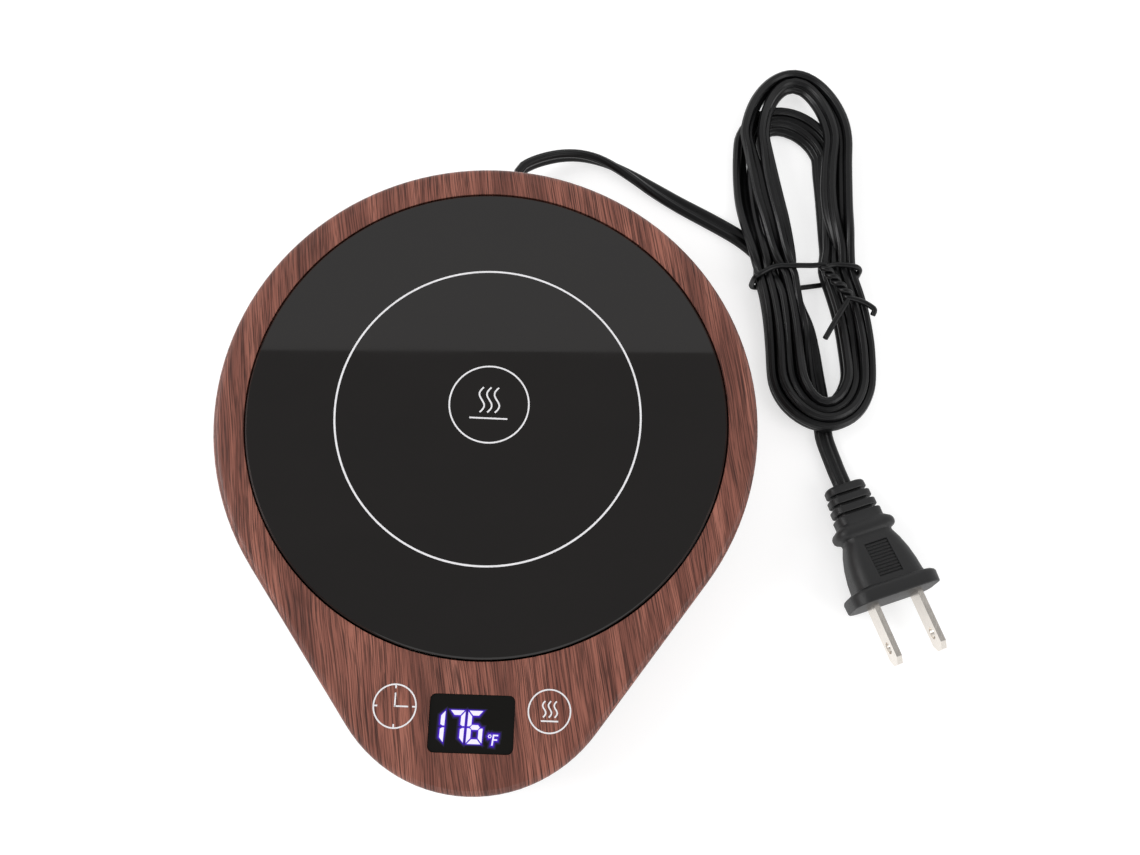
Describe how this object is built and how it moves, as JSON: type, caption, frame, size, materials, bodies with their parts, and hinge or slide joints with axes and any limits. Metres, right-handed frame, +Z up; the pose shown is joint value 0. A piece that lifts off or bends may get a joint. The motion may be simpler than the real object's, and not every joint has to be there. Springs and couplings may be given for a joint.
{
  "type": "mug warmer",
  "caption": "Electric mug warmer: round glass warming plate in a teardrop wood-grain housing, lit display and touch keys, flat two-core mains cord in a tied hank with a two-blade plug",
  "frame": {"origin": "middle of the housing's outline on the surface it stands on, at the underside of the rubber feet", "axes": "+Z up; +Y towards the cord exit, along the housing's long axis; -Y towards the display lobe; +X to the right seen from the display"},
  "size_m": [0.1958, 0.2165, 0.023],
  "materials": {
    "wood_film": "satin film printed as red-brown wood grain",
    "black_plastic": "fine-textured black plastic",
    "foot_rubber": "matte black rubber",
    "zinc_steel": "zinc-plated steel",
    "smoked_lens": "gloss smoked acrylic",
    "white_plastic": "white plastic",
    "green_board": "green solder mask",
    "spring_steel": "plain spring steel",
    "tan_board": "tan paper laminate",
    "green_plastic": "green plastic",
    "yellow_plastic": "gloss yellow plastic",
    "blue_plastic": "dark blue sleeve",
    "fuse_glass": "ceramic fuse with plated caps",
    "lead_rubber": "silicone sleeve",
    "red_plastic": "red plastic",
    "black_glass": "polished black glass with a white printed circle",
    "seal_rubber": "silicone adhesive",
    "plain_aluminium": "mill aluminium",
    "heater_foil": "amber film heater",
    "insulation_felt": "pale ceramic felt",
    "carrier_plastic": "glass-filled heat-resistant plastic",
    "cord_rubber": "satin black PVC",
    "plug_rubber": "satin moulded black PVC",
    "nickel_brass": "nickel-plated brass"
  },
  "bodies": {
    "root": {"top_housing": "wood_film", "bottom_housing": "black_plastic", "rubber_feet": "foot_rubber", "housing_screws": "zinc_steel", "display_window": "smoked_lens", "display_module": "white_plastic", "control_board": "green_board", "control_board_screws": "zinc_steel", "touch_springs": "spring_steel", "display_cable": "white_plastic", "power_board": "tan_board", "power_board_screws": "zinc_steel", "terminal_block": "green_plastic", "film_capacitor": "yellow_plastic", "bulk_capacitor": "blue_plastic", "triac": "black_plastic", "board_fuse": "fuse_glass", "mains_leads": "lead_rubber", "cord_clamp": "black_plastic", "cord_clamp_screws": "zinc_steel", "switch_body": "black_plastic", "switch_screws": "zinc_steel", "plate_springs": "spring_steel", "heater_leads": "lead_rubber", "cord_grommet": "cord_rubber", "cord_lead": "cord_rubber", "cord_hank": "cord_rubber", "cord_tail": "cord_rubber", "twist_tie": "cord_rubber", "plug_body": "plug_rubber", "plug_blades": "nickel_brass"},
    "plate": {"glass_plate": "black_glass", "glass_seal": "seal_rubber", "heat_spreader": "plain_aluminium", "heating_element": "heater_foil", "insulation_pad": "insulation_felt", "plate_carrier": "carrier_plastic", "temperature_sensor": "white_plastic", "thermal_fuse": "spring_steel", "sensor_clip": "spring_steel", "sensor_clip_screws": "zinc_steel"},
    "plunger": {"switch_plunger": "red_plastic"}
  },
  "joints": [
    {"name": "plate_press", "type": "slide", "parent": "root", "child": "plate", "axis": [0, 0, -1], "range_m": [0, 0.0008], "stiffness_N_per_m": 1000, "springref_m": -0.003, "deforming": ["plate_springs", "heater_leads"]},
    {"name": "switch_press", "type": "slide", "parent": "root", "child": "plunger", "axis": [0, 0, -1], "range_m": [0, 0.0009]}
  ],
  "couplings": [
    {"joint": "switch_press", "follows": "plate_press", "ratio": 1}
  ]
}
